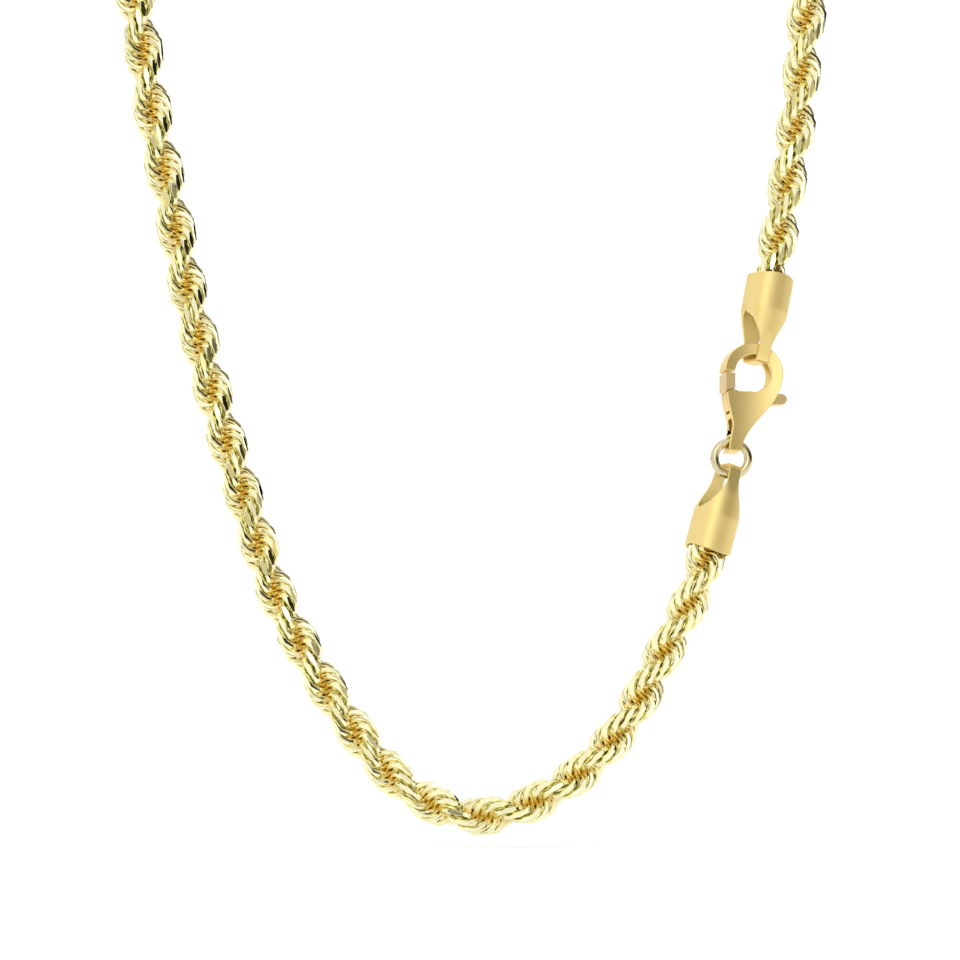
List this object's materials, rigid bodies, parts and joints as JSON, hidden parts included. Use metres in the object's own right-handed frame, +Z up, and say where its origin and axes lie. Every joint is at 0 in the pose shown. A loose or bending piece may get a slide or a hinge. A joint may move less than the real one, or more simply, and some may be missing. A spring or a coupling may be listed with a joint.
{
  "type": "rope chain necklace",
  "caption": "Twisted rope chain necklace of bright cut links, with sheet-metal end caps, a jump ring and a fastened trigger clasp.",
  "frame": {"origin": "middle of the rope at the nape, where the necklace lies on the back of the neck", "axes": "+X to the wearer's left, which is the right of the front view; +Y towards the wearer's back; +Z up"},
  "size_m": [0.1269, 0.1103, 0.1456],
  "materials": {
    "rope": "bright cut yellow gold",
    "cap": "satin yellow gold",
    "ring": "mirror polished pale gold",
    "clasp": "satin yellow gold",
    "lever": "satin yellow gold"
  },
  "bodies": {
    "necklace": {"rope_chain": "rope", "end_cap_upper": "cap", "end_cap_lower": "cap", "jump_ring": "ring", "clasp_body": "clasp", "lever_pin": "lever"},
    "lever": {"clasp_lever": "lever"}
  },
  "joints": [
    {"name": "lever_hinge", "type": "hinge", "parent": "necklace", "child": "lever", "pos_m": [0.02558, -0.09863, -0.10033], "axis": [-0.2924, 0.9377, -0.1876], "range_deg": [0, 24], "stiffness_Nm_per_rad": 0.004, "springref_deg": -17.19}
  ]
}
